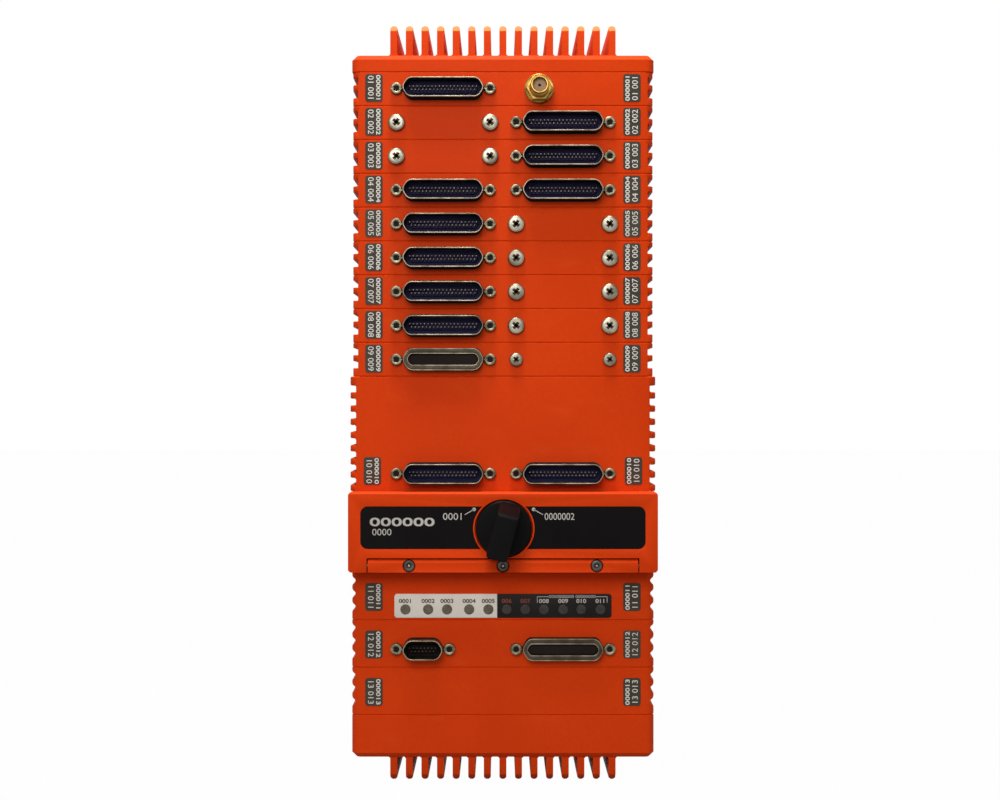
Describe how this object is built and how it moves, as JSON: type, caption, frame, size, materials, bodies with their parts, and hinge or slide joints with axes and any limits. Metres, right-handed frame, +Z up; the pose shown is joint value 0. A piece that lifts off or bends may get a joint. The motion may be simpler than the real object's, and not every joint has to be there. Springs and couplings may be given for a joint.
{
  "type": "solid state data recorder",
  "caption": "Upright stack of finned aluminium modules with front connectors and a drop-down memory door that a turn latch holds shut.",
  "frame": {"origin": "middle of the whole width and depth, at the tips of the bottom cooling fins", "axes": "+Z up the stack, +X to the right seen from the front, -Y out of the front face"},
  "size_m": [0.1052, 0.163, 0.2605],
  "materials": {
    "orange_paint": "satin orange paint on milled aluminium",
    "black_plate": "satin black printed plate",
    "black_knob": "fine matte black moulding",
    "steel": "passivated stainless steel",
    "dark_steel": "blackened steel",
    "nickel": "warm satin nickel plating",
    "insert_moulding": "dark blue-black moulding",
    "gold": "gold plating",
    "insulator": "cream fluoropolymer",
    "overlay": "printed white and black overlay",
    "lights": "smoked grey light windows",
    "board": "green glass fibre board",
    "cartridge": "black anodised aluminium",
    "component": "black potted modules"
  },
  "bodies": {
    "root": {"blanking_screws": "steel", "bottom_cover": "orange_paint", "coaxial_contact": "gold", "coaxial_insulator": "insulator", "coaxial_jack_body": "gold", "coaxial_nut": "gold", "coaxial_washer": "gold", "filter_cans": "component", "filter_housing": "orange_paint", "hinge_block": "orange_paint", "hinge_pins": "dark_steel", "hinge_screws": "dark_steel", "indicator_housing": "orange_paint", "indicator_lights": "lights", "indicator_plate": "overlay", "interface_boards": "board", "interface_module_1": "orange_paint", "interface_module_2": "orange_paint", "interface_module_3": "orange_paint", "interface_module_4": "orange_paint", "interface_module_5": "orange_paint", "interface_module_6": "orange_paint", "interface_module_7": "orange_paint", "interface_module_8": "orange_paint", "interface_module_9": "orange_paint", "jack_posts": "steel", "lower_boards": "board", "memory_cartridge": "cartridge", "memory_socket": "component", "pin_inserts": "insert_moulding", "port_shell_1_left": "nickel", "port_shell_2_right": "nickel", "port_shell_3_right": "nickel", "port_shell_4_left": "nickel", "port_shell_4_right": "nickel", "port_shell_5_left": "nickel", "port_shell_6_left": "nickel", "port_shell_7_left": "nickel", "port_shell_8_left": "nickel", "port_shell_9_left": "nickel", "port_shell_power_left": "nickel", "port_shell_power_right": "nickel", "port_shell_processor_left": "nickel", "port_shell_processor_right": "nickel", "power_converters": "component", "power_housing": "orange_paint", "processor_board": "board", "processor_housing": "orange_paint", "small_blanking_screws": "steel", "socket_inserts": "insert_moulding", "stacking_connectors": "component", "tie_bolts": "steel", "top_cover": "orange_paint"},
    "door": {"door": "orange_paint", "door_panel": "black_plate"},
    "latch": {"latch_knob": "black_knob", "latch_shaft": "steel", "latch_cam": "steel", "latch_nut": "steel"}
  },
  "joints": [
    {"name": "door_hinge", "type": "hinge", "parent": "root", "child": "door", "pos_m": [0, -0.0643, 0.07479], "axis": [1, 0, 0], "range_deg": [0, 95]},
    {"name": "latch_turn", "type": "hinge", "parent": "door", "child": "latch", "pos_m": [0.0003, -0.0665, 0.08749], "axis": [0, -1, 0], "range_deg": [-41.5, 72.5]}
  ]
}
